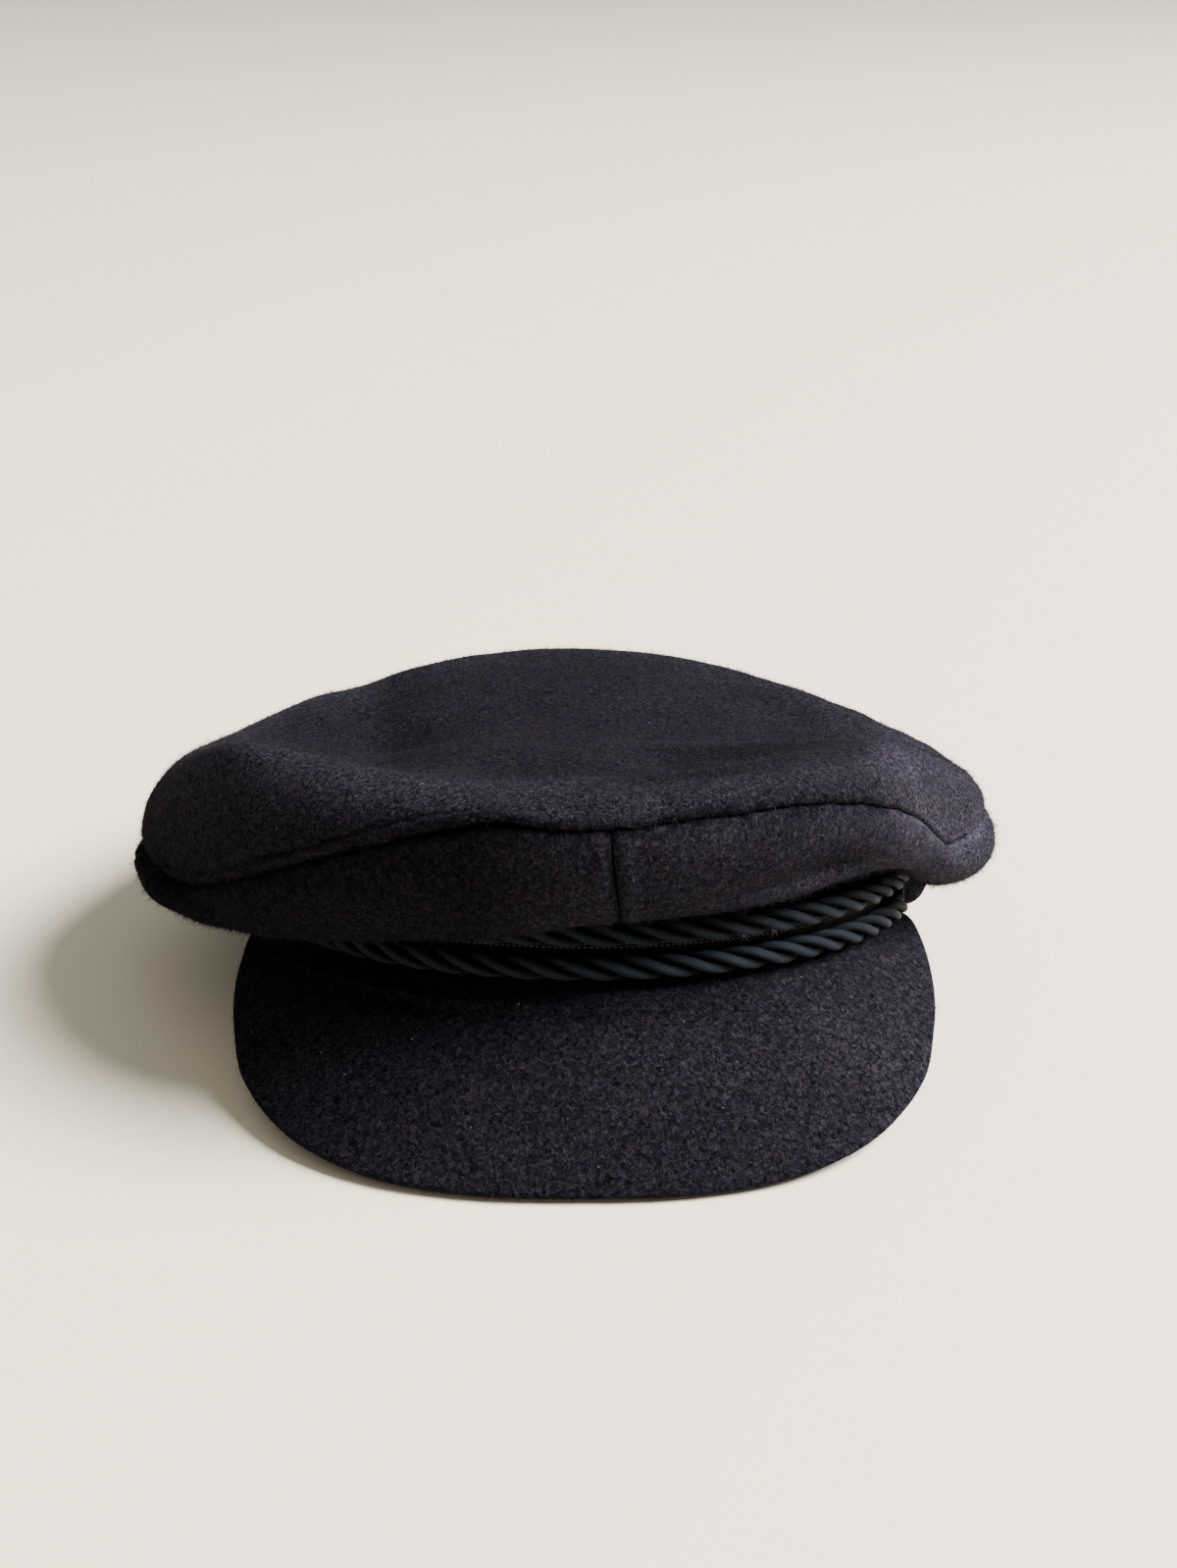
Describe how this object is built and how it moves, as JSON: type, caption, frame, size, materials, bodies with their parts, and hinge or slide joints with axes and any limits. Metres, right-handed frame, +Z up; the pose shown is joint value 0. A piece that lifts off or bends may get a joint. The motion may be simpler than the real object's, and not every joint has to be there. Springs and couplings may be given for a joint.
{
  "type": "sailor cap",
  "caption": "Soft fisherman's style sailor cap of dark wool cloth: slouched quartered crown, head band, sloping peak, twisted cords and side buttons.",
  "frame": {"origin": "middle of the cap's footprint (its bounding box in plan) at table height, where the band's back and the peak's front edge rest", "axes": "-Y towards the peak, +X to the wearer's left, +Z up from the table"},
  "size_m": [0.271, 0.2798, 0.1048],
  "materials": {
    "wool": "brushed navy melton wool with short nap",
    "cord": "satin black twisted rayon",
    "tape": "matt black flat braid",
    "button": "cloth cover over a thin glossy rim"
  },
  "bodies": {
    "root": {"crown_top": "wool", "side_front_left": "wool", "side_front_right": "wool", "side_back_left": "wool", "side_back_right": "wool", "band": "wool", "peak": "wool", "cord_lower": "cord", "cord_upper": "cord", "cord_tape": "tape", "button_left": "button", "button_right": "button"}
  },
  "joints": []
}
